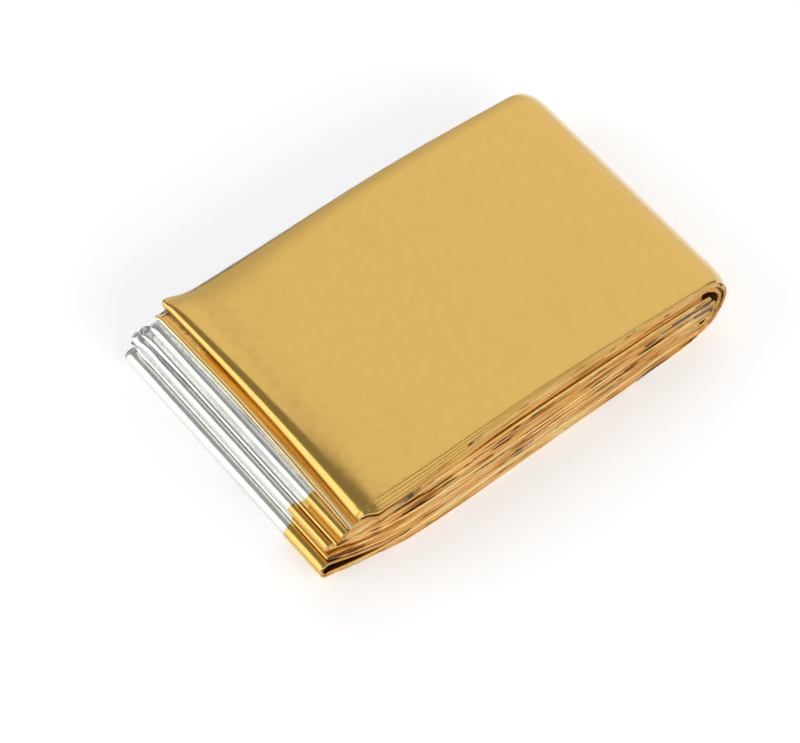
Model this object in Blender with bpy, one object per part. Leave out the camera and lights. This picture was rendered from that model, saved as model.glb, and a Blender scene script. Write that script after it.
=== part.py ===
"""Emergency foil blanket: one sheet of metallised film, pleated into a long strip, laid back and forth and
doubled over into a flat packet.

+Z up. X runs from the stepped left end, where the fold ends show, to the round right end. Y runs from the
front long side to the back one. The packet rests on its flat underside at z = 0. Lengths are in mm up to the
mesh, which is in metres.
"""

import math

import bpy
from mathutils import Vector

MM = 0.001

# The strip of pleated film
WIDTH = 78.5  # about 1.6 m of film in 21 pleats
SHEET = 1.1  # the strip, 21 films deep and lightly pressed
EDGE_THIN = 0.45  # share of the thickness at the very edge, where the pleats turn
STATIONS = (-1.0, -0.985, -0.87, -0.6, 0.0, 0.6, 0.84, 0.93, 0.985, 1.0)  # across, in half widths

# The passes of the strip, in the order in which it runs, from the left to the right and back by turns.
# left, right: where the straight pass begins and ends, from the tip of the top roll
# at_left, at_mid, at_right: height of its middle line
# side: how far its left end lies towards the back
PASSES = (
    # name, left, right, at_left, at_mid, at_right, side
    ("under", -4.5, 99.0, 0.55, 0.55, 0.62, -0.9),
    ("face", 2.2, 111.5, 23.10, 23.45, 19.15, 0.2),
    ("second", 2.2, 111.5, 21.25, 21.75, 17.45, 0.0),
    ("c_low", -7.1, 99.0, 2.12, 2.15, 2.25, 1.2),
    ("c_high", -7.1, 101.0, 5.55, 4.15, 3.80, 1.9),
    ("b_thin", -6.9, 101.0, 7.05, 6.05, 5.26, 2.0),
    ("b_thin_2", -6.9, 105.0, 8.55, 7.65, 6.45, 2.5),
    ("b_low", -5.6, 105.0, 10.05, 9.30, 7.95, 2.9),
    ("b_high", -5.6, 107.0, 12.10, 11.05, 9.35, 2.6),
    ("a_thin", -4.9, 107.0, 13.60, 12.85, 10.82, 1.2),
    ("a_thin_2", -4.9, 107.0, 15.10, 14.50, 12.28, 0.5),
    ("a_low", -2.9, 107.0, 16.60, 16.10, 13.76, -0.1),
    ("a_high", -2.9, 104.0, 18.25, 17.90, 15.38, -0.1),
    ("lip", -1.6, 104.0, 19.80, 19.98, 16.88, -0.2),
)
NAME, LEFT, RIGHT, AT_LEFT, AT_MID, AT_RIGHT, SIDE = range(7)
RISE_OVER = 18.0  # length over which a pass goes from its left height to its middle one
FALL_FROM = 46.0  # where it begins to go to its right height
PASS_SHARES = (0.0, 0.05, 0.13, 0.3, 0.5, 0.68, 0.84, 1.0)  # points along a pass, in shares of its length
SIDE_KEPT = 0.3  # share of the sideways shift that is left at the right end

# The turns between the passes
TURN_POINTS = 6  # on a small turn
NOSE_POINTS = 11  # on one of the two big turns at the right end
NOSE_TIPS = {"under": 119.0, "second": 117.2}  # how far the big turns reach, by the pass they start from

# The shape of the whole packet
CORNER = 6.5  # the right corners are rounded off over this width
CORNER_LENGTH = 18.0  # and over this length
CORNER_CUTS = {"front": 1.6, "back": 2.8}  # what the rounded corners take off the length
BACK_EDGE = 8.0  # the top bends down over this width along the back
BACK_DROP = 1.6
BOW = 0.9  # how far the top roll is bowed in halfway along it
WAVE = 0.22  # height of the soft unevenness of the top
WAVE_LENGTH = 67.0
TOP = 24.0


def ease(value):
    """0 up to 0, 1 from 1 on and a soft S between them."""
    t = min(1.0, max(0.0, value))
    return t * t * (3.0 - 2.0 * t)


def height_at(row, x):
    """Height of a pass's middle line."""
    rise = ease((x - row[LEFT]) / RISE_OVER)
    fall = min(1.0, max(0.0, (x - FALL_FROM) / (row[RIGHT] - FALL_FROM))) ** 2
    return row[AT_LEFT] + (row[AT_MID] - row[AT_LEFT]) * rise + (row[AT_RIGHT] - row[AT_MID]) * fall


def side_at(row, x):
    """How far a pass lies towards the back."""
    return row[SIDE] * (1.0 - (1.0 - SIDE_KEPT) * ease((x - row[LEFT]) / (row[RIGHT] - row[LEFT])))


def pass_points(row, to_right):
    """Middle line of a pass, as (x, height, side)."""
    places = [row[LEFT] + (row[RIGHT] - row[LEFT]) * share for share in PASS_SHARES]
    if not to_right:
        places.reverse()
    return [(x, height_at(row, x), side_at(row, x)) for x in places]


def turn_points(row, after, to_right):
    """Middle line of the turn from one pass to the next, which leaves and meets them in their own direction."""
    end, way = (RIGHT, 1.0) if to_right else (LEFT, -1.0)
    half = abs(height_at(after, after[end]) - height_at(row, row[end])) / 2.0
    nose = row[NAME] in NOSE_TIPS
    tip = NOSE_TIPS[row[NAME]] if nose else row[end] + way * half
    count = NOSE_POINTS if nose else TURN_POINTS
    sides = (side_at(row, row[end]), side_at(after, after[end]))
    handles = []
    for other in (row, after):
        x = other[end]
        step = 0.1 * way
        climb = (height_at(other, x) - height_at(other, x - step)) / step
        start = Vector((x, height_at(other, x)))
        reach = abs(tip - x) * 4.0 / 3.0
        handles.append((start, start + way * reach * Vector((1.0, climb)).normalized()))
    (a, b), (d, c) = handles
    points = []
    for k in range(1, count + 1):
        t = k / (count + 1)
        s = 1.0 - t
        place = s**3 * a + 3.0 * s * s * t * b + 3.0 * s * t * t * c + t**3 * d
        points.append((place.x, place.y, sides[0] + (sides[1] - sides[0]) * ease(t)))
    return points


def strip_line():
    """Middle line of the whole strip, from its end under the packet to the lip under the top roll."""
    line = []
    for k, row in enumerate(PASSES):
        to_right = k % 2 == 0
        line += pass_points(row, to_right)
        if k + 1 < len(PASSES):
            line += turn_points(row, PASSES[k + 1], to_right)
    return line


def shaped(x, y, z):
    """The place of a point of the flat stack in the packet with its soft corners and edges."""
    level = z / TOP
    across = y / (WIDTH / 2.0)
    to_side = max(0.0, (abs(y) - (WIDTH / 2.0 - CORNER)) / CORNER)
    to_end = ease((x - (NOSE_TIPS["under"] - CORNER_LENGTH)) / CORNER_LENGTH)
    cut = CORNER_CUTS["back" if y > 0.0 else "front"] * to_side**2 * to_end
    bow = BOW * (1.0 - across**2) * ease((z - 18.0) / 3.0) * (1.0 - ease(x / 30.0))
    to_back = max(0.0, (y - (WIDTH / 2.0 - BACK_EDGE)) / BACK_EDGE)
    wave = WAVE * math.sin(2.0 * math.pi * x / WAVE_LENGTH + 0.6) * math.cos(1.5 * across - 0.5)
    sink = BACK_DROP * to_back**2 + WAVE - wave
    return x + bow - cut, y, z - level**2 * sink


def strip_mesh(name):
    """The strip as one closed solid."""
    line = strip_line()
    last = len(line) - 1
    rings = []
    for j, (x, z, side) in enumerate(line):
        before, behind = line[max(0, j - 1)], line[min(last, j + 1)]
        along = Vector((behind[0] - before[0], behind[1] - before[1])).normalized()
        out = Vector((-along.y, along.x))
        faces = []
        for sign in (1.0, -1.0):
            row = []
            for place in STATIONS:
                thin = EDGE_THIN if abs(place) == 1.0 or j in (0, last) else 1.0
                at = Vector((x, z)) + out * (sign * SHEET * thin / 2.0)
                row.append(shaped(at.x, place * WIDTH / 2.0 + side, at.y))
            faces.append(row)
        rings.append(faces)

    points = [p for faces in rings for row in faces for p in row]
    low = [min(p[k] for p in points) for k in range(3)]
    high = [max(p[k] for p in points) for k in range(3)]
    middle = ((low[0] + high[0]) / 2.0, (low[1] + high[1]) / 2.0, low[2])
    placed = [tuple((p[k] - middle[k]) * MM for k in range(3)) for p in points]

    across = len(STATIONS)

    def index(j, sign, i):
        return (j * 2 + sign) * across + i

    quads = []
    for j in range(last):
        for i in range(across - 1):
            quads.append((index(j, 0, i), index(j + 1, 0, i), index(j + 1, 0, i + 1), index(j, 0, i + 1)))
            quads.append((index(j, 1, i), index(j, 1, i + 1), index(j + 1, 1, i + 1), index(j + 1, 1, i)))
        for i, flip in ((0, False), (across - 1, True)):
            quad = (index(j, 0, i), index(j, 1, i), index(j + 1, 1, i), index(j + 1, 0, i))
            quads.append(quad[::-1] if flip else quad)
    for j, flip in ((0, True), (last, False)):
        for i in range(across - 1):
            quad = (index(j, 0, i), index(j, 1, i), index(j, 1, i + 1), index(j, 0, i + 1))
            quads.append(quad[::-1] if flip else quad)

    mesh = bpy.data.meshes.new(name)
    mesh.from_pydata(placed, [], quads)
    mesh.validate()
    mesh.shade_smooth()
    mesh.set_sharp_from_angle(angle=math.radians(40.0))
    return mesh


def foil():
    """Gold metallised film."""
    material = bpy.data.materials.new("gold_foil")
    material.use_nodes = True
    shader = material.node_tree.nodes["Principled BSDF"]
    shader.inputs["Base Color"].default_value = (0.71, 0.45, 0.12, 1.0)
    shader.inputs["Metallic"].default_value = 1.0
    shader.inputs["Roughness"].default_value = 0.25
    return material


for old in list(bpy.data.objects):
    bpy.data.objects.remove(old)

blanket = bpy.data.objects.new("foil_blanket", strip_mesh("foil_blanket"))
blanket.data.materials.append(foil())
bpy.context.scene.collection.objects.link(blanket)
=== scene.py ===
# %% [markdown]
# # A folded emergency foil blanket
# The real blanket is one sheet of very thin plastic film, about 1.6 by 2.1 metres, with a gold face and a
# silver face. It is pleated into a strip as wide as a hand, and the strip is laid back and forth into a flat
# packet. This lesson dresses the solid model of the packet with the real film: every layer of every pleat.
# The first step loads the solid model. It gives the frame in which everything else is placed.

# %% Load the frame
import math

import bpy
import numpy as np
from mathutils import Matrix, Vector, noise


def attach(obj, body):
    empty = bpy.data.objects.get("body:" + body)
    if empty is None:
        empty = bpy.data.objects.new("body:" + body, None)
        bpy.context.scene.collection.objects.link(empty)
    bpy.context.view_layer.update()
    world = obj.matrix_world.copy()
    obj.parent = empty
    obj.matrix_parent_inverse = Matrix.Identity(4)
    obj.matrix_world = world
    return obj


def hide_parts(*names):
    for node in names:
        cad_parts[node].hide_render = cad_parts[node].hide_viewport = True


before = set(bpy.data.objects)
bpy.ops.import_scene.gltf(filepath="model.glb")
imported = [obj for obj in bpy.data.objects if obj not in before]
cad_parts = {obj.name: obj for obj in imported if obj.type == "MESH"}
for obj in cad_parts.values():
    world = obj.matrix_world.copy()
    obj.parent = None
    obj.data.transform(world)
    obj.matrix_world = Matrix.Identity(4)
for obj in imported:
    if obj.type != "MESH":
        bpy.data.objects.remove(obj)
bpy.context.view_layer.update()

MM = 0.001  # the sizes below are in mm, the scene's are in metres

# %% [markdown]
# ## The camera
# The camera looks down on the packet from the front left. It stands far away with a long lens, so that the
# sides of the packet stay almost parallel. Its place follows from two angles, a distance and the point that
# it looks at, which is easier to adjust than three coordinates.

# %% Place the camera
CAMERA_TURN = -38.43  # degrees round the vertical axis, 0 looks along +Y
CAMERA_RISE = 56.44  # degrees above the floor
CAMERA_FAR = 0.9  # metres from the point that it looks at
CAMERA_AIM = Vector((-0.01173, -0.0019, 0.0))
CAMERA_LENS, CAMERA_SENSOR = 160.7, 36.0  # mm
CAMERA_NEAR = 0.01  # nothing nearer than this is drawn

turned, raised = math.radians(CAMERA_TURN), math.radians(CAMERA_RISE)
level_part = math.cos(raised)
to_camera = Vector((math.sin(turned) * level_part, -math.cos(turned) * level_part, math.sin(raised)))
camera = bpy.data.objects.new("camera", bpy.data.cameras.new("camera"))
camera.data.lens = CAMERA_LENS
camera.data.sensor_width = CAMERA_SENSOR
camera.data.clip_start = CAMERA_NEAR
camera.location = CAMERA_AIM + to_camera * CAMERA_FAR
camera.rotation_euler = to_camera.to_track_quat("Z", "Y").to_euler()
bpy.context.scene.collection.objects.link(camera)
bpy.context.scene.camera = camera
print("camera at", [round(v, 3) for v in camera.location])

# %% [markdown]
# ## The route of the strip
# A packet like this is made on a table. The pleated strip is laid to the right, folded, laid to the left,
# folded again, and at last the rest of it is wrapped over and under the whole stack. Seen from the long side
# it is a zigzag, so one table with a row for each length, or pass, holds it all: where the pass begins and
# ends, how high it lies at three places, and how far it has slipped to the back or to the front. A table is
# better here than drawing the line by hand, because one number moves one fold.

# %% The passes
WIDTH = 78.5  # of the strip, mm
STRIP = 1.1  # its thickness with all its layers, mm
MIDDLE = (55.173, 1.0)  # of the packet, in the route's own x and y

PASSES = (
    # name, left, right, at_left, at_mid, at_right, side, forward
    ("under", -5.0, 99.0, 0.75, 0.75, 0.75, 2.6, 2.2),
    ("face", 2.2, 111.5, 23.32, 23.30, 19.00, 0.2, 0.0),
    ("second", 2.2, 111.5, 21.25, 21.72, 17.45, 0.0, 0.1),
    ("c_low", -7.1, 99.0, 2.12, 2.35, 2.35, 1.2, 2.1),
    ("c_high", -7.1, 109.2, 5.55, 4.15, 3.95, 1.9, 1.9),
    ("b_thin", -6.5, 109.2, 7.05, 6.00, 5.40, 2.0, 1.8),
    ("b_thin_2", -6.5, 113.0, 8.55, 7.60, 6.80, 2.5, 1.5),
    ("b_low", -5.6, 113.0, 10.05, 9.25, 8.20, 2.9, 1.5),
    ("b_high", -5.6, 114.4, 12.10, 10.90, 9.60, 2.6, 1.2),
    ("a_thin", -4.7, 114.4, 13.60, 12.50, 10.90, 1.2, 1.2),
    ("a_thin_2", -4.7, 112.6, 15.10, 14.10, 12.20, 0.5, 0.9),
    ("a_low", -2.9, 112.6, 16.60, 15.70, 13.50, -0.1, 0.8),
    ("a_high", -2.9, 109.4, 18.25, 18.50, 15.70, -0.1, 0.3),
    ("lip", -2.4, 109.4, 19.75, 20.10, 17.00, -0.2, 0.0),
)
NAME, LEFT, RIGHT, AT_LEFT, AT_MID, AT_RIGHT, SIDE, FORWARD = range(8)
print(len(PASSES), "passes, the highest at", max(row[AT_MID] for row in PASSES), "mm")

# %% [markdown]
# Three small functions read that table. The first gives the height of a pass at any place along it, the
# second how far it lies to the side, and the third how thick the strip is there. The strip is tight at its
# folds and loose between them, as in any stack of folded cloth.

# %% How a pass lies
RISE_OVER = 18.0  # a pass goes from its left height to its middle one over this length, mm
FALL_FROM = 46.0  # and from here on to its right height
SHOULDER_FROM = 3.45  # the top length begins to bend down here, towards its roll
SHOULDER_ROUND = 5.2  # radius of that bend, mm
LIP_CURL, LIP_CURL_FROM = 0.07, 0.2  # the free end under the roll curls up a little
SIDE_OVER = 26.0  # a pass leaves its sideways place at the left over this length
CLOSER, CLOSER_FROM, CLOSER_OVER = 0.45, 30.0, 80.0  # the lower passes stand out less towards the round end
PINCHES = {"b_thin": 0.45, "b_thin_2": -0.45, "a_thin": 0.45, "a_thin_2": -0.45}  # mm, at two sharp turns
PINCHED, PINCH_OVER = 0.45, 4.0  # share of the strip's thickness that is left at such a turn, and its length
FULLER, FULLER_FROM, FULLER_OVER = 0.45, 4.0, 8.0  # the strip is looser away from its rolls, mm
LESS, LESS_FROM, LESS_OVER = 0.20, 60.0, 45.0  # and a little tighter again towards the round end

def ease(value):
    t = min(1.0, max(0.0, value))
    return t * t * (3.0 - 2.0 * t)

def height_at(row, x):
    climb = ease((x - row[LEFT]) / RISE_OVER)
    fall = min(1.0, max(0.0, (x - FALL_FROM) / (row[RIGHT] - FALL_FROM))) ** 2
    height = row[AT_LEFT] + (row[AT_MID] - row[AT_LEFT]) * climb + (row[AT_RIGHT] - row[AT_MID]) * fall
    if row[NAME] == "face":
        height -= max(0.0, SHOULDER_FROM - x) ** 2 / (2.0 * SHOULDER_ROUND)
    if row[NAME] == "lip":
        height += LIP_CURL * max(0.0, LIP_CURL_FROM - x) ** 2
    return height + PINCHES.get(row[NAME], 0.0) * (1.0 - ease((x - row[LEFT]) / PINCH_OVER))

def side_at(row, x):
    gone = 1.0 - max(0.0, 1.0 - (x - row[LEFT]) / SIDE_OVER) ** 2 if x > row[LEFT] else 0.0
    forward = row[FORWARD] * (1.0 - CLOSER * ease((x - CLOSER_FROM) / CLOSER_OVER))
    return row[SIDE] * (1.0 - gone) - forward * gone

def thickness_at(row, x):
    thickness = STRIP + FULLER * ease((x - FULLER_FROM) / FULLER_OVER)
    thickness -= LESS * ease((x - LESS_FROM) / LESS_OVER)
    if row[NAME] in PINCHES:
        thickness *= PINCHED + (1.0 - PINCHED) * ease((x - row[LEFT]) / PINCH_OVER)
    return thickness

print("mm thick from left to right:", [round(thickness_at(PASSES[0], x), 2) for x in (0.0, 40.0, 110.0)])

# %% [markdown]
# A pass is a row of points, close together near its left end, where it bends, and far apart where it is
# straight. That keeps the mesh light without losing the shape of the rolls.

# %% Points along a pass
NEAR_LEFT = (0.0, 0.6, 1.2, 1.9, 2.7, 3.7, 5.0, 7.0)  # mm from a pass's left end
NEAR_END = (0.0, 0.06, 0.16, 0.32, 0.55, 0.9, 1.5, 2.5, 4.0, 7.0)  # the same for the two free ends
EVEN_STEPS = 17
MORE = {"second": (8.5, 10.0, 11.5, 14.0, 15.5, 17.0)}  # a few more points where shade is painted on the front

def pass_points(row, to_right):
    near = NEAR_END if row[NAME] in ("under", "lip") else NEAR_LEFT
    rest = row[RIGHT] - row[LEFT] - near[-1]
    places = [row[LEFT] + step for step in near]
    places += [places[-1] + rest * (k + 1) / EVEN_STEPS for k in range(EVEN_STEPS)]
    places = sorted(places + [row[LEFT] + step for step in MORE.get(row[NAME], ())])
    if not to_right:
        places.reverse()
    return [(x, height_at(row, x), side_at(row, x), thickness_at(row, x)) for x in places]

print(len(pass_points(PASSES[0], True)), "points along the lowest pass")

# %% [markdown]
# Between two passes the strip turns round. Film doesn't crease sharply when there are many layers of it, so a
# turn is a small round roll: a smooth curve that leaves one pass and meets the next in their own direction.
# The light catches these rolls, so each gets many points. The two big turns at the round end get the most.

# %% Points along a turn
LEFT_POINTS, RIGHT_POINTS, NOSE_POINTS = 9, 6, 28
NOSE_FROM = 115.0  # a turn that reaches further right than this is one of the two big ones
# how far the turn after a pass reaches, mm, where it isn't half round
TIPS = {"under": 119.0, "second": 117.2, "face": 0.75, "c_low": -9.5, "b_thin": -7.2, "b_low": -6.9,
        "a_thin": -5.4, "a_low": -3.95}
HANDLE = 4.0 / 3.0  # length of a curve's handle for a turn as round as a half circle
TINY_STEP = 0.1  # mm, to measure a pass's direction

def turn_points(row, after, to_right):
    end, way = (RIGHT, 1.0) if to_right else (LEFT, -1.0)
    half = abs(height_at(after, after[end]) - height_at(row, row[end])) / 2.0
    tip = TIPS.get(row[NAME], row[end] + way * half)
    count = NOSE_POINTS if tip > NOSE_FROM else RIGHT_POINTS if to_right else LEFT_POINTS
    sides = (side_at(row, row[end]), side_at(after, after[end]))
    thicknesses = (thickness_at(row, row[end]), thickness_at(after, after[end]))
    handles = []
    for other in (row, after):
        x = other[end]
        step = TINY_STEP * way
        climb = (height_at(other, x) - height_at(other, x - step)) / step
        start = Vector((x, height_at(other, x)))
        handles.append((start, start + way * abs(tip - x) * HANDLE * Vector((1.0, climb)).normalized()))
    (a, b), (d, c) = handles
    points = []
    for k in range(1, count + 1):
        t = k / (count + 1)
        s = 1.0 - t
        place = s**3 * a + 3.0 * s * s * t * b + 3.0 * s * t * t * c + t**3 * d
        side = sides[0] + (sides[1] - sides[0]) * ease(t)
        points.append((place.x, place.y, side, thicknesses[0] * s + thicknesses[1] * t))
    return points

print(len(turn_points(PASSES[0], PASSES[1], True)), "points round the big turn")

# %% [markdown]
# Passes and turns one after the other are the whole route. Each point also remembers the pass that it belongs
# to, because the finish depends on it later. A turn belongs half to the pass before it and half to the next.
# At the two free ends nothing holds the layers apart, so there they come together.

# %% The whole route, from end to end
END_ROUND = 0.9  # the layers come together over this length at the free ends, mm
CLOSED = 0.04  # share of the thickness that is left at the very end
route, owners = [], []

def add_to_route(stretch, owner):
    route.extend(stretch)
    owners.extend([owner] * len(stretch))

for k, row in enumerate(PASSES):
    to_right = k % 2 == 0
    add_to_route(pass_points(row, to_right), row[NAME])
    if k + 1 < len(PASSES):
        turn = turn_points(row, PASSES[k + 1], to_right)
        half = len(turn) // 2
        add_to_route(turn[:half], row[NAME])
        add_to_route(turn[half:], PASSES[k + 1][NAME])
owners = np.array(owners)
route = np.array(route)
route_x, route_z, route_side, route_thickness = route.T

along = np.gradient(route[:, :2], axis=0)
along /= np.linalg.norm(along, axis=1)[:, None]
out_x, out_z = -along[:, 1], along[:, 0]  # square to the strip
run = np.concatenate([[0.0], np.cumsum(np.linalg.norm(np.diff(route[:, :2], axis=0), axis=1))])
to_free_end = np.minimum(run, run[-1] - run)
closing = CLOSED + (1.0 - CLOSED) * np.sqrt(1.0 - np.clip(1.0 - to_free_end / END_ROUND, 0.0, 1.0) ** 2)
print(len(route), "points along", round(run[-1] * MM, 3), "m of strip")

# %% [markdown]
# ## The layers of the strip
# Cut the strip across and you see the film itself go to and fro, 21 times and a bit: about 1.66 m of film in
# a strip 78.5 mm wide. Its front edge is a pile of folds with the gold face outside, its back edge a pile of
# folds with the silver face outside. The last layer only covers the front 15 mm, so silver shows beside it.
# The table of columns below is that cross section. Each column is a line that runs the whole length of the
# strip. Layers that show get many columns, and the hidden ones between them only enough to hold their folds.

# %% The cross section
LAYERS = 22
LAST_COVER = 15.0  # how far the last layer reaches from the front edge, mm
LAST_SHARES = (0.008, 0.05, 0.12, 0.25, 0.42, 0.6, 0.8, 1.0)  # its columns, in shares of that
HALF = WIDTH / 2.0
FINE = (0.9, 1.5, 2.3, 3.4, 5.0, 7.5, 11.0, 16.0, 23.0, 31.0)  # columns of a layer that shows, mm in
COARSE = (20.0,)  # the same for a hidden layer
FRONT_FOLD, BACK_FOLD = (0.015, 0.25), (0.5,)  # and two more for the fold at the front, one for the back

def places_across(layer):
    if layer == LAYERS - 1:
        return [-HALF + LAST_COVER * share for share in LAST_SHARES]
    steps = FINE if layer in (0, LAYERS - 2) else COARSE
    front = [-HALF + step for step in FRONT_FOLD + steps]
    back = [HALF - step for step in reversed(BACK_FOLD + steps)]
    return front + [0.0] + back

columns = []  # layer, place across, kind
for layer in range(LAYERS):
    places = places_across(layer)
    if layer % 2 == 0:
        places.reverse()
    columns += [(layer, y, "film") for y in places]
    if layer + 1 < LAYERS:
        way = -1.0 if layer % 2 == 0 else 1.0
        columns.append((layer + 0.5, way * HALF, "fold"))
film_width = (LAYERS - 1) * WIDTH + LAST_COVER
print(len(columns), "columns for", round(film_width * MM, 2), "m of film in", LAYERS, "layers")

# %% [markdown]
# ## Unevenness
# No fold lies exactly over the one below it. Smooth noise along the strip pushes each fold in or out by a few
# tenths of a millimetre, small groups of folds slip together, and the folds in the middle of the pile stand
# out a little further than the outer ones. The random numbers start from a fixed seed, so the packet comes
# out the same on every run.

# %% How far each fold stands back
BULGE = 0.50  # the outermost folds stand back by this, mm
# a waver along a fold: how far, over what length, in mm, how unlike the next fold's, where its noise starts
SLOW_WAVER = (0.26, 31.0, 0.31, 3.7)
QUICK_WAVER = (0.12, 7.0, 0.93, 11.3)
SLIP_GROUP, GROUP, GROUPS = 0.34, 3, 20  # how far a group slips, folds in a group, groups
SLIP_OWN = 0.20  # and how far each fold slips by itself, mm
SLIP_SEED = 7
BACK_FOLDS = 40  # the folds of the back edge use the numbers from here on
chance = np.random.default_rng(SLIP_SEED)
own_slip = chance.uniform(0.0, SLIP_OWN, GROUPS * GROUP)
own_slip += np.repeat(chance.uniform(0.0, SLIP_GROUP, GROUPS), GROUP)

def level_of(layer):
    return 2.0 * layer / (LAYERS - 1) - 1.0

def waver(fold, place, far, length, unlike, start):
    return far * noise.noise(Vector((place / length, fold * unlike, start)))

def slip(fold, place):
    return waver(fold, place, *SLOW_WAVER) + waver(fold, place, *QUICK_WAVER) + own_slip[fold]

def setback(layer, y):
    fold = int(layer) // 2 if y < 0.0 else (int(layer) + 1) // 2 + BACK_FOLDS
    return np.array([BULGE * level_of(layer) ** 2 + slip(fold, place) for place in run])

print("the top fold stands back by up to", round(float(setback(0.5, -HALF).max()), 2), "mm")

# %% [markdown]
# The two lengths on top, the face and the one under it, were pushed askew like a pack of cards: each fold of
# their front edge stands out further than the one above it. That shows the edges of the first few as fine
# lines on the gold, and the last ones hang over the lengths below and shade them.

# %% The fan along the front of the top
FAN_STEPS = ((0, 0.0), (1, 0.23), (2, 0.46), (3, 0.66), (5, 0.74), (21, 1.0))  # fold from the top, share
FAN_REACH = (
    # x, how far the lowest fold stands out there, mm
    (0.5, 0.0),
    (5.0, 3.3),
    (12.0, 3.2),
    (32.0, 2.3),
    (55.0, 1.1),
    (85.0, 0.3),
    (97.0, 0.5),
    (112.0, 0.0),
)
FAN_FADE = 20.0  # mm from the front edge
in_face, in_second = owners == "face", owners == "second"
fan_reach = np.interp(route_x, *zip(*FAN_REACH))

def fan(layer):
    fold = int(layer) // 2
    shares = np.interp([fold, LAYERS - 1 - fold], *zip(*FAN_STEPS))
    return fan_reach * (in_face * shares[0] + in_second * shares[1])

print("the top fans out by up to", round(float(fan(0).max()), 1), "mm")

# %% [markdown]
# ## The soft shape of the whole packet
# The weight of the layers and many hands round the packet off: its right corners are drawn in, the top bends
# down along the back, its roll is pressed down at the front, and the long top face is never quite flat. These
# are pushes on every point at once, which bends all the layers alike and keeps them from crossing.

# %% Push a point to its place in the packet
CORNER, CORNER_LENGTH = 6.5, 18.0  # the right corners are rounded off over this width and length, mm
CORNER_CUT_FRONT, CORNER_CUT_BACK = 1.6, 1.4
BACK_EDGE, BACK_DROP = 5.0, 1.3  # the top bends down over this width along the back, by this much,
LEFT_EDGE, LEFT_DROP, LEFT_OVER = 5.0, 1.0, 55.0  # and by this much more towards the left corner,
BESIDE_ROLL, BESIDE_OVER = 2.5, 10.0  # but not at the roll itself
BOW, BOW_FROM, BOW_RISE, BOW_FADE = 0.9, 18.0, 3.0, 30.0  # the top roll is bowed in halfway along it
PRESS, PRESS_TO = 0.024, 7.0  # beside its roll the top is pressed down at the front, and up at the back,
PRESS_FROM, PRESS_OVER = 18.8, 1.8  # from this height up, mm
WAVE, WAVE_LENGTH, WAVE_START = 0.22, 67.0, 0.6  # the top's soft waves along the packet, mm,
WAVE_ACROSS, WAVE_ASKEW = 1.5, 0.5  # and across it
TOP = 24.0  # the pushes grow up to here, mm

def eased(values):
    t = np.clip(values, 0.0, 1.0)
    return t * t * (3.0 - 2.0 * t)

def shaped(x, y, z):
    to_side = np.maximum(0.0, (np.abs(y) - (HALF - CORNER)) / CORNER)
    to_end = eased((x - (TIPS["under"] - CORNER_LENGTH)) / CORNER_LENGTH)
    cut = np.where(y > 0.0, CORNER_CUT_BACK, CORNER_CUT_FRONT) * to_side**2 * to_end
    bow = BOW * (1.0 - (y / HALF) ** 2) * eased((z - BOW_FROM) / BOW_RISE) * (1.0 - eased(x / BOW_FADE))
    to_left = (1.0 - eased(x / LEFT_OVER)) * eased((x - BESIDE_ROLL) / BESIDE_OVER)
    width = BACK_EDGE + LEFT_EDGE * to_left
    drop = (BACK_DROP + LEFT_DROP * to_left) * np.maximum(0.0, (y - (HALF - width)) / width) ** 2
    wave = np.sin(2.0 * np.pi * x / WAVE_LENGTH + WAVE_START) * np.cos(WAVE_ACROSS * y / HALF - WAVE_ASKEW)
    press = PRESS * np.clip(PRESS_TO - x, 0.0, PRESS_TO) ** 2 * -y / HALF
    sink = drop + WAVE * (1.0 - wave) + press * eased((z - PRESS_FROM) / PRESS_OVER)
    return x + bow - cut, y, z - (z / TOP) ** 2 * sink

print("at the back edge the top lies", round(TOP - float(shaped(50.0, HALF, TOP)[2]), 2), "mm lower")

# %% [markdown]
# Now every column gets its points: out from the middle line of the strip by its layer's height, sideways by
# its place across, and then pushed to the packet's shape. The hidden layers keep clear of the two that show,
# so that nothing pokes through, and the free end is a little wavy.

# %% Put every column in its place
BLEND = 4.0  # the unevenness of a fold fades out over this width, mm
CLEAR = 0.9  # the hidden layers lie within this share of the thickness
COVER = 0.5  # the outer layer reaches over the others at the back, mm
EDGE_CLOSER, EDGE_WIDTH = 0.16, 1.6  # the layers lie closer together at the edges
BAND_WAVER = (1.4, 40.0, 0.0, 5.1)  # the gold band's inner border isn't straight
END_WAVERS = ((0.20, 9.0, 2.2), (0.10, 3.1, 7.2))  # nor is the free end: how far, length, start
TUCK = 0.25  # at the free end the outer layer reaches this much further than the others, mm
END_OVER = 4.0  # and this begins so far from the end, mm

def column_points(layer, y):
    from_edge = HALF - abs(y)
    to_edge = max(0.0, 1.0 - from_edge / BLEND)
    back = setback(layer, y) * to_edge
    if layer == LAYERS - 1 and y >= -HALF + LAST_COVER:
        back = back - np.array([waver(0, place, *BAND_WAVER) for place in run])
    if layer == 0 and y > 0.0:
        back = back - COVER * to_edge
    level = level_of(layer) * (CLEAR if 1 <= layer < LAYERS - 2 else 1.0)
    edge = 1.0 - EDGE_CLOSER * max(0.0, 1.0 - from_edge / EDGE_WIDTH) ** 2
    lift = level * route_thickness / 2.0 * edge * closing
    wavy = sum(far * noise.noise(Vector((y / length, start, 0.0))) for far, length, start in END_WAVERS)
    tucked = 0.0 if layer == 0 else TUCK
    x = route_x + out_x * lift + (wavy + tucked) * eased((run - run[-1] + END_OVER) / END_OVER)
    z = route_z + out_z * lift
    side = route_side - (fan(layer) * max(0.0, 1.0 - from_edge / FAN_FADE) if y < 0.0 else 0.0)
    return shaped(x, y - math.copysign(1.0, y) * back + side, z)

grid = np.array([np.stack(column_points(layer, y), axis=1) for layer, y, _ in columns])
print("film grid:", grid.shape)

# %% [markdown]
# The back ends of the rolls were pulled out of line when the packet was pressed flat: the lowest roll and the
# top one reach further back than the ones between them. A short table of heights and pulls does it.

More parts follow.
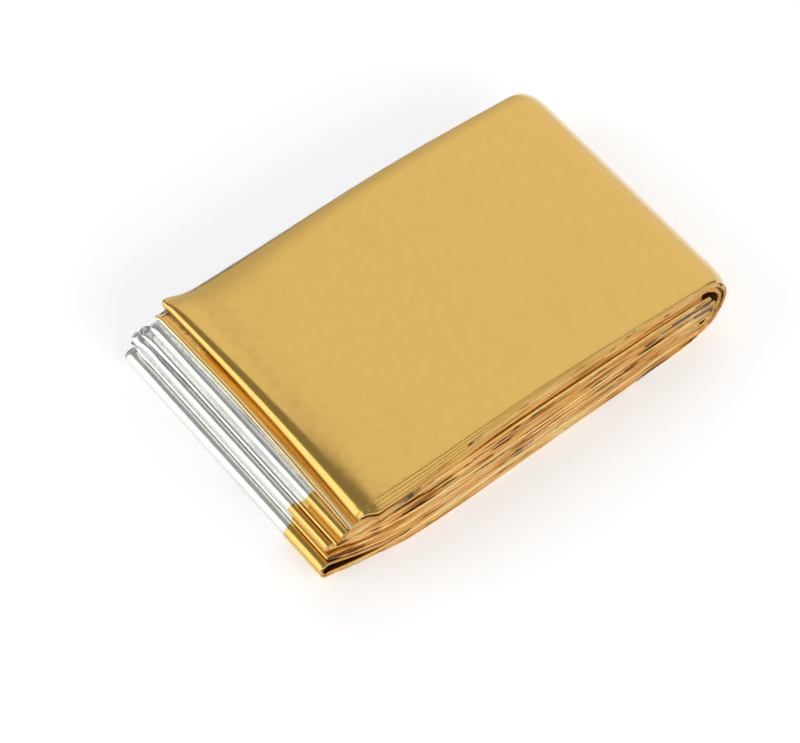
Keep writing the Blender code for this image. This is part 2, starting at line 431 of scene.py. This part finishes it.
# %% Pull the back ends of the rolls
# height, pull there
PULLS = ((0.0, 2.7), (5.0, 2.7), (11.0, 2.0), (17.0, 0.5), (20.0, 0.6), (22.5, 1.7), (24.0, 1.7))
PULL_FROM, PULL_FADE = -2.0, 12.0  # the pull fades out over this length to the right of the rolls
PULL_START, PULL_OVER, PULL_MOST = -10.0, 50.0, 1.2  # it grows from here across, towards the back
pull = np.interp(grid[:, :, 2], *zip(*PULLS)) * (1.0 - eased((grid[:, :, 0] - PULL_FROM) / PULL_FADE))
grid[:, :, 1] += pull * np.clip((grid[:, :, 1] - PULL_START) / PULL_OVER, 0.0, PULL_MOST) ** 2
print("pulled back by up to", round(float(pull.max()), 1), "mm")

# %% [markdown]
# At the corners the folds of so many layers have nowhere to go, and the film crumples. Each row below is one
# such place. A smooth noise with a direction moves all points near it, most at its middle. That noise starts
# from the clock unless it is given a seed, so it gets one.

# %% Crumple the corners
CRUMPLES = (
    # x, y, z, reach, push, size of a crease
    (110.0, -42.0, 10.0, 10.0, 1.1, 4.6),
    (114.0, -41.0, 13.0, 6.0, 0.6, 3.0),
    (-5.0, 42.0, 11.0, 8.0, 1.2, 3.0),
    (-5.0, 42.0, 11.0, 6.0, 0.5, 1.1),
    (2.5, -38.5, 22.0, 4.0, 0.5, 2.2),
    (3.0, 39.5, 22.5, 5.0, 0.8, 2.4),
    (0.0, 39.5, 20.0, 5.0, 0.8, 2.0),
)
CREASE_SEED = 3
noise.seed_set(CREASE_SEED)
for x, y, z, reach, push, size in CRUMPLES:
    apart = np.linalg.norm(grid - [x, y, z], axis=2)
    for c, j in np.argwhere(apart < reach):
        share = (1.0 - (apart[c, j] / reach) ** 2) ** 2
        grid[c, j] += np.array(noise.noise_vector(Vector(grid[c, j]) / size)) * push * share
grid[:, :, 2] = np.maximum(grid[:, :, 2], 0.0)
print(len(CRUMPLES), "crumpled places")

# %% [markdown]
# ## Which finish goes where
# The outer layers show the film itself, gold on one side and silver on the other. The piles of folds show as
# pleats. On the gold side these differ: the fanned top shows fine bright lines and a satin rest painted
# lighter for the light that it catches, the first folds of a length carry a painted highlight, and a few
# crumpled places carry painted shade. The free end under the top roll has a painted highlight along its rim
# and bands of painted shade along it, from the roll above.

# %% The kinds of finish
FINISHES = ("gold_film", "silver_film", "gold_pleats", "silver_pleats", "shade_pleats", "lit_top_pleats",
            "highlit_pleats", "rim_highlight_film", "striped_shade_film")
GOLD, SILVER, GOLD_EDGE, SILVER_EDGE, SHADE_EDGE, LIT_TOP_EDGE, HIGHLIT_EDGE, RIM_HIGHLIGHT, STRIPED_SHADE = range(len(FINISHES))
LINES = 4  # so many of the topmost folds show as fine lines at the left, and fewer and fewer to the right
LINES_FROM, LINES_TO = 20.0, 90.0  # mm along
HIGHLIT_PASSES = ("second", "a_low", "a_high", "b_low", "b_high", "c_low", "c_high")
HIGHLIT_LAYERS = 5  # the first layers of these passes get a painted highlight
RIM = 1.1  # width of the painted highlight along the rim of the free end, mm
lines_shown = LINES * np.interp(route_x, (LINES_FROM, LINES_TO), (1.0, 0.0))
in_highlit = np.isin(owners, HIGHLIT_PASSES)
in_lip = owners == "lip"
in_rim = in_lip & (run[-1] - run < RIM)
print(int(in_highlit.sum()), "points of the route are in a highlit pass,", int(in_rim.sum()), "in the rim")

# %% [markdown]
# The places of painted shade are small ellipses on the front side, broken up by noise into streaks.

# %% Where shade is painted on the folds
# places of painted shade on the front, where the folds crumple
SHADE_PATCHES = (
    # x, z, reach in x, reach in z
    (14.0, 21.2, 8.0, 1.6),
    (101.0, 13.2, 8.0, 1.2),
    (109.0, 10.0, 5.0, 2.0),
    (117.5, 16.0, 3.0, 2.2),
)
SHADE_DEPTH = 1.5  # only this near the front edge, mm
SHADE_CREASE = 1.3  # size of a streak, mm,
SHADE_STRETCH, SHADE_FLAT = 4.0, 3.0  # so many times longer along the strip, and flatter
SHADE_LEVEL = 0.38  # a higher level leaves fewer streaks

def in_painted_shade(place):
    if place[1] > -HALF + SHADE_DEPTH:
        return False
    near = max(1.0 - math.hypot((place[0] - x) / wide, (place[2] - z) / high) for x, z, wide, high in SHADE_PATCHES)
    crease = Vector((place[0] / SHADE_STRETCH, place[1], place[2] * SHADE_FLAT)) / SHADE_CREASE
    return near > 0.0 and near + noise.noise(crease) > SHADE_LEVEL

print("shaded at", len(SHADE_PATCHES), "places")

# %% [markdown]
# Two functions choose the finish of a face. The first looks only at the two columns that it lies between: the
# film itself shows on the outer layers, and everything else is a fold at the front or at the back. The second
# looks at the place along the strip too.

# %% Choose the finish of a face
def film_or_fold(first, second):
    layer = int(min(first[0], second[0]))
    if first[2] == second[2] == "film":
        if layer in (0, LAYERS - 1):
            return GOLD
        if layer == LAYERS - 2:
            return SILVER
    return GOLD_EDGE if first[1] + second[1] < 0.0 else SILVER_EDGE

def finish_of(base, layer, j, place):
    # the free end: a painted highlight on its rim, and bands of painted shade on the rest of it
    if base == GOLD and in_lip[j]:
        return RIM_HIGHLIGHT if in_rim[j] else STRIPED_SHADE
    if base != GOLD_EDGE:
        return base
    # painted shade at the crumpled places
    if in_painted_shade(place):
        return SHADE_EDGE
    # a painted highlight on the first layers of these lengths
    if in_highlit[j] and layer < HIGHLIT_LAYERS:
        return HIGHLIT_EDGE
    # the top's front: its top folds show the film, the rest a lighter pleat finish, painted light
    if in_face[j] or in_second[j]:
        return GOLD if in_face[j] and layer < 2.0 * lines_shown[j] else LIT_TOP_EDGE
    return GOLD_EDGE

print("between the first two columns:", FINISHES[film_or_fold(columns[0], columns[1])])

# %% [markdown]
# ## The mesh of the film
# The grid of columns by route points becomes one surface of four-sided faces. It is a single sheet with no
# thickness, as 12 micrometres would be nothing at this size. Each face is told which finish it shows.

# %% Make the film
points = (grid.reshape(-1, 3) - [MIDDLE[0], MIDDLE[1], 0.0]) * MM
points[:, 2] -= points[:, 2].min()
count = len(route)
faces, finishes = [], []
for c in range(len(columns) - 1):
    base = film_or_fold(columns[c], columns[c + 1])
    for j in range(count - 1):
        here = c * count + j
        faces.append((here, here + count, here + count + 1, here + 1))
        finishes.append(finish_of(base, columns[c][0], j, grid[c, j]))
mesh = bpy.data.meshes.new("foil_sheet")
mesh.from_pydata(points.tolist(), [], faces)
mesh.shade_smooth()
film = bpy.data.objects.new("foil_sheet", mesh)
bpy.context.scene.collection.objects.link(film)
print("film:", 2 * len(faces), "triangles")

# %% [markdown]
# ## Finishes
# Metallised film is a mirror with a tint. All its colour is in the reflection, so the shader is metallic,
# and what makes it look like film is a fine unevenness: faint creases that bend the reflection. The first
# helpers make a metal, a noise that can be drawn out in one direction, and a value spread to another range.

# %% Helpers for a metal and its noise
def new_finish(name, colour, roughness):
    material = bpy.data.materials.new(name)
    material.use_nodes = True
    nodes, links = material.node_tree.nodes, material.node_tree.links
    shader = nodes["Principled BSDF"]
    shader.inputs["Base Color"].default_value = (*colour, 1.0)
    shader.inputs["Metallic"].default_value = 1.0
    shader.inputs["Roughness"].default_value = roughness
    return material, nodes, links, shader

def pattern(nodes, links, stretch, scale, detail, harsh=0.5):
    place = nodes.new("ShaderNodeTexCoord")
    mapping = nodes.new("ShaderNodeMapping")
    mapping.inputs["Scale"].default_value = stretch
    texture = nodes.new("ShaderNodeTexNoise")
    texture.inputs["Scale"].default_value = scale
    texture.inputs["Detail"].default_value = detail
    texture.inputs["Roughness"].default_value = harsh
    links.new(place.outputs["Object"], mapping.inputs["Vector"])
    links.new(mapping.outputs["Vector"], texture.inputs["Vector"])
    return texture.outputs["Fac"]

NOISE_LOW, NOISE_HIGH = 0.3, 0.7  # nearly all of a noise lies between these

def spread(nodes, links, value, low, high):
    node = nodes.new("ShaderNodeMapRange")
    node.inputs["From Min"].default_value = NOISE_LOW
    node.inputs["From Max"].default_value = NOISE_HIGH
    node.inputs["To Min"].default_value = low
    node.inputs["To Max"].default_value = high
    links.new(value, node.inputs["Value"])
    return node.outputs["Result"]

print("helpers ready:", new_finish.__name__, pattern.__name__, spread.__name__)

# %% [markdown]
# Two more helpers turn a noise into a colour, by a ramp with a few stops, and into small bumps. A bump is
# right for creases of a few micrometres, which no mesh could carry.

# %% Helpers for colour and bumps
def tint(nodes, links, value, stops):
    ramp = nodes.new("ShaderNodeValToRGB")
    while len(ramp.color_ramp.elements) < len(stops):
        ramp.color_ramp.elements.new(0.5)
    for element, (place, colour) in zip(ramp.color_ramp.elements, stops):
        element.position = place
        element.color = (*colour, 1.0)
    links.new(value, ramp.inputs["Fac"])
    return ramp.outputs["Color"]

def bumps(nodes, links, height, depth, before=None):
    bump = nodes.new("ShaderNodeBump")
    bump.inputs["Strength"].default_value = 1.0
    bump.inputs["Distance"].default_value = depth
    links.new(height, bump.inputs["Height"])
    if before is not None:
        links.new(before, bump.inputs["Normal"])
    return bump.outputs["Normal"]

print("helpers ready:", tint.__name__, bumps.__name__)

# %% [markdown]
# ## Gold and silver film
# The film has three things that catch the light: faint darker patches, a fine crumple everywhere, and long
# streaks along the folds, which are the marks of the rollers and of the folding. The free end under the top
# roll gets painted shade in bands along the fold, in place of the patches. The bump depths are in metres.

# %% One recipe for all film
PATCH_STRETCH, PATCH_SCALE, PATCH_DETAIL, PATCH_STOPS = (1.0, 0.3, 1.0), 150.0, 3.0, (0.55, 0.72)
# the bands are painted shade: the dark reflection of the roll above the free end
BAND_STRETCH, BAND_SCALE, BAND_DETAIL, BAND_STOPS = (1.0, 0.02, 1.0), 1100.0, 2.0, (0.46, 0.60)
CRUMPLE_STRETCH, CRUMPLE_SCALE, CRUMPLE_DETAIL = (1.0, 1.0, 1.0), 420.0, 4.0
STREAK_STRETCH, STREAK_SCALE, STREAK_DETAIL = (1.0, 0.04, 1.0), 1500.0, 2.0
SHINIER, DULLER = 0.04, 0.05  # the crumple's hollows and crests differ from the roughness by this

def film_finish(name, tone, dark, roughness, crease, streak, banded=False):
    material, nodes, links, shader = new_finish(name, tone, roughness)
    if banded:
        shade, stops = pattern(nodes, links, BAND_STRETCH, BAND_SCALE, BAND_DETAIL), BAND_STOPS
    else:
        shade, stops = pattern(nodes, links, PATCH_STRETCH, PATCH_SCALE, PATCH_DETAIL), PATCH_STOPS
    links.new(tint(nodes, links, shade, tuple(zip(stops, (tone, dark)))), shader.inputs["Base Color"])
    fine = pattern(nodes, links, CRUMPLE_STRETCH, CRUMPLE_SCALE, CRUMPLE_DETAIL)
    rough = spread(nodes, links, fine, roughness - SHINIER, roughness + DULLER)
    links.new(rough, shader.inputs["Roughness"])
    streaks = pattern(nodes, links, STREAK_STRETCH, STREAK_SCALE, STREAK_DETAIL)
    soft = bumps(nodes, links, fine, crease)
    links.new(bumps(nodes, links, streaks, streak, soft), shader.inputs["Normal"])
    return material

print("recipe ready:", film_finish.__name__)

# %% [markdown]
# The gold is silver metal under a clear amber lacquer. So it gets a smooth clear coat, which adds the white
# glint on the rolls. The rim of the free end is a lighter gold, a painted highlight, and the silver side has
# no lacquer at all.

# %% The films
GOLD_TONE, GOLD_DARK = (0.705, 0.434, 0.085), (0.685, 0.42, 0.08)
# a lighter gold: the painted highlight along the rim of the free end
RIM_HIGHLIGHT_TONE, RIM_HIGHLIGHT_DARK = (0.79, 0.57, 0.25), (0.75, 0.52, 0.21)
# the darker tone of those bands of painted shade
BAND_SHADE = (0.52, 0.29, 0.06)
SILVER_TONE, SILVER_DARK = (0.86, 0.86, 0.82), (0.66, 0.67, 0.66)
LACQUER, LACQUER_ROUGHNESS = 1.0, 0.12

gold_film = film_finish("gold_film", GOLD_TONE, GOLD_DARK, roughness=0.19, crease=0.0000015, streak=0.000003)
rim_highlight_film = film_finish("rim_highlight_film", RIM_HIGHLIGHT_TONE, RIM_HIGHLIGHT_DARK, roughness=0.24, crease=0.000003, streak=0.000014)
striped_shade_film = film_finish(
    "striped_shade_film", GOLD_TONE, BAND_SHADE, roughness=0.24, crease=0.000003, streak=0.000020, banded=True
)
silver_film = film_finish(
    "silver_film", SILVER_TONE, SILVER_DARK, roughness=0.25, crease=0.000004, streak=0.000010
)
for material in (gold_film, rim_highlight_film, striped_shade_film):
    lacquered = material.node_tree.nodes["Principled BSDF"]
    lacquered.inputs["Coat Weight"].default_value = LACQUER
    lacquered.inputs["Coat Roughness"].default_value = LACQUER_ROUGHNESS
print("films:", [material.name for material in (gold_film, rim_highlight_film, striped_shade_film, silver_film)])

# %% [markdown]
# ## Pleat edges
# A pile of folds shows as many fine lines, each a little lighter or darker than the next: painted shade in
# the gaps between folds and painted highlights on the folds that catch the light. A noise that is drawn out
# along the strip gives these lines. A second, coarser one picks out scattered spots and darkens them to
# grey-violet dashes. Both are cheaper and livelier than painting each fold by hand.

# %% One recipe for all pleats
LINE_STRETCH, LINE_SCALE, LINE_DETAIL, LINE_HARSH = (0.04, 0.5, 1.0), 1250.0, 3.0, 0.6
LINE_DEPTH = 0.00006
SPOT_STRETCH, SPOT_SCALE, SPOT_DETAIL, SPOT_HARSH = (0.18, 0.6, 1.7), 520.0, 3.0, 0.45
PLEATS_DULLER = 0.12  # the bright lines are rougher than the dark ones by this

def pleat_finish(name, roughness, stops, spots=None):
    material, nodes, links, shader = new_finish(name, stops[1][1], roughness)
    lines = pattern(nodes, links, LINE_STRETCH, LINE_SCALE, LINE_DETAIL, LINE_HARSH)
    colour = tint(nodes, links, lines, stops)
    if spots:
        dashes = pattern(nodes, links, SPOT_STRETCH, SPOT_SCALE, SPOT_DETAIL, SPOT_HARSH)
        darken = nodes.new("ShaderNodeVectorMath")
        darken.operation = "MULTIPLY"
        links.new(colour, darken.inputs[0])
        links.new(tint(nodes, links, dashes, spots), darken.inputs[1])
        colour = darken.outputs["Vector"]
    links.new(colour, shader.inputs["Base Color"])
    rough = spread(nodes, links, lines, roughness, roughness + PLEATS_DULLER)
    links.new(rough, shader.inputs["Roughness"])
    links.new(bumps(nodes, links, lines, LINE_DEPTH), shader.inputs["Normal"])
    return material

print("recipe ready:", pleat_finish.__name__)

# %% [markdown]
# The ramps below go from painted shade in the gaps between folds, over the tone of most folds, to painted
# highlights on the bright ones. The gold pleats are rougher than the gold film, because each of them sends
# the light another way.

# %% The pleats
CLEAN = (1.0, 1.0, 1.0)  # no darkening
gold_pleats = pleat_finish(
    "gold_pleats",
    roughness=0.32,
    stops=(
        (0.34, (0.44, 0.21, 0.06)),
        (0.44, (0.89, 0.50, 0.15)),
        (0.54, (0.97, 0.62, 0.25)),
        (0.66, (1.0, 0.87, 0.46)),
    ),
    spots=((0.60, CLEAN), (0.635, (0.30, 0.24, 0.26))),
)
# a lighter copy of the gold pleats for the top's front: painted light for the light it catches
lit_top_pleats = pleat_finish(
    "lit_top_pleats",
    roughness=0.48,
    stops=(
        (0.32, (0.62, 0.34, 0.09)),
        (0.40, (0.95, 0.62, 0.20)),
        (0.54, (1.0, 0.70, 0.28)),
        (0.66, (1.0, 0.82, 0.42)),
    ),
    spots=((0.66, CLEAN), (0.69, (0.22, 0.18, 0.18))),
)
# lighter pleats: the painted highlight on the first folds of a length
highlit_pleats = pleat_finish(
    "highlit_pleats",
    roughness=0.30,
    stops=((0.30, (0.90, 0.56, 0.18)), (0.42, (1.0, 0.77, 0.33)), (0.66, (1.0, 0.86, 0.45))),
)
# dark greys: the painted shade of the crumpled places
shade_pleats = pleat_finish(
    "shade_pleats",
    roughness=0.30,
    stops=((0.34, (0.10, 0.06, 0.05)), (0.50, (0.26, 0.18, 0.15)), (0.66, (0.50, 0.42, 0.38))),
)
silver_pleats = pleat_finish(
    "silver_pleats",
    roughness=0.20,
    stops=((0.34, (0.45, 0.45, 0.46)), (0.50, (0.74, 0.75, 0.75)), (0.66, (0.84, 0.84, 0.83))),
)
pleats = (gold_pleats, lit_top_pleats, highlit_pleats, shade_pleats, silver_pleats)
print("pleats:", [material.name for material in pleats])

# %% [markdown]
# The film gets all finishes in the order of the list above, and each face the number of its own.

# %% Give the finishes to the film
for name in FINISHES:
    mesh.materials.append(bpy.data.materials[name])
mesh.polygons.foreach_set("material_index", np.array(finishes, dtype=np.int32))
print("faces by finish:", {name: finishes.count(k) for k, name in enumerate(FINISHES)})

# %% [markdown]
# ## Tie the film to the frame
# The film stands for the solid of the packet.

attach(film, "root")
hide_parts("foil_blanket")
print(film.name, "stands for the solid of the packet")

# %% [markdown]
# ## Floor
# A plain pale floor, as in a product photograph. It glows a little by itself, so that it stays light right up
# to the packet, and the folds of the front side, which reflect it, stay light too.

# %% Lay the floor
FLOOR_SIZE = 6.0  # metres
FLOOR_DOWN = 0.0002  # a hair under the packet, so that the two surfaces don't fight
FLOOR_TONE, FLOOR_ROUGHNESS = (0.93, 0.93, 0.93), 0.85
FLOOR_GLOW = 0.42

bpy.ops.mesh.primitive_plane_add(size=FLOOR_SIZE, location=(0.0, 0.0, -FLOOR_DOWN))
floor = bpy.context.active_object
floor.name = "floor"
floor_finish = new_finish("pale_floor", FLOOR_TONE, FLOOR_ROUGHNESS)[0]
floor_shader = floor_finish.node_tree.nodes["Principled BSDF"]
floor_shader.inputs["Metallic"].default_value = 0.0
floor_shader.inputs["Emission Color"].default_value = (1.0, 1.0, 1.0, 1.0)
floor_shader.inputs["Emission Strength"].default_value = FLOOR_GLOW
floor.data.materials.append(floor_finish)
print("floor:", FLOOR_SIZE, "m wide")

# %% [markdown]
# ## Light
# A mirror shows the room, so the lights are placed for what the film reflects. The top face sees one large
# soft panel behind it on the right. The three panels beside it lie in the same plane and are dimmer from one
# to the next, so that the top darkens softly towards the left. The rolls see the panel at the left, and the
# front side the one in front. The unlit part of the room between them draws the dark line beside each roll.

# %% Hang the lights
LIGHTS = (
    # name, place, what it looks at, width, height, all in metres, radiance
    ("sky_panel", (0.900, 0.50, 0.794), (-0.019, 0.50, 0.023), 0.76, 1.94, 0.73),
    ("back_panel_1", (0.900, 1.00, 0.794), (-0.019, 1.00, 0.023), 0.24, 1.94, 0.62),
    ("back_panel_2", (0.900, 1.31, 0.794), (-0.019, 1.31, 0.023), 0.38, 1.94, 0.52),
    ("back_panel_3", (0.900, 2.25, 0.794), (-0.019, 2.25, 0.023), 1.50, 1.94, 0.42),
    ("left_panel", (-0.968, 0.508, 0.484), (0.0, 0.0, 0.0), 0.9, 1.07, 1.5),
    ("front_panel", (0.133, -1.146, 0.600), (0.0, 0.0, 0.0), 1.4, 0.7, 2.15),
)
for name, place, aim, width, height, radiance in LIGHTS:
    panel = bpy.data.lights.new(name, "AREA")
    panel.shape = "RECTANGLE"
    panel.size, panel.size_y = width, height
    panel.energy = radiance * math.pi * width * height  # its whole power, in watts
    holder = bpy.data.objects.new(name, panel)
    holder.location = place
    holder.rotation_euler = (Vector(place) - Vector(aim)).to_track_quat("Z", "Y").to_euler()
    holder.visible_camera = False
    bpy.context.scene.collection.objects.link(holder)
print(len(LIGHTS), "panels")

# %% [markdown]
# The rest of the room is an even, dim white. The plain view transform keeps the colours as they are.

# %% The room
ROOM_LIGHT = 0.3
world = bpy.data.worlds.new("studio")
world.use_nodes = True
world.node_tree.nodes["Background"].inputs["Color"].default_value = (1.0, 1.0, 1.0, 1.0)
world.node_tree.nodes["Background"].inputs["Strength"].default_value = ROOM_LIGHT
bpy.context.scene.world = world
bpy.context.scene.view_settings.view_transform = "Standard"
print("room light:", ROOM_LIGHT)
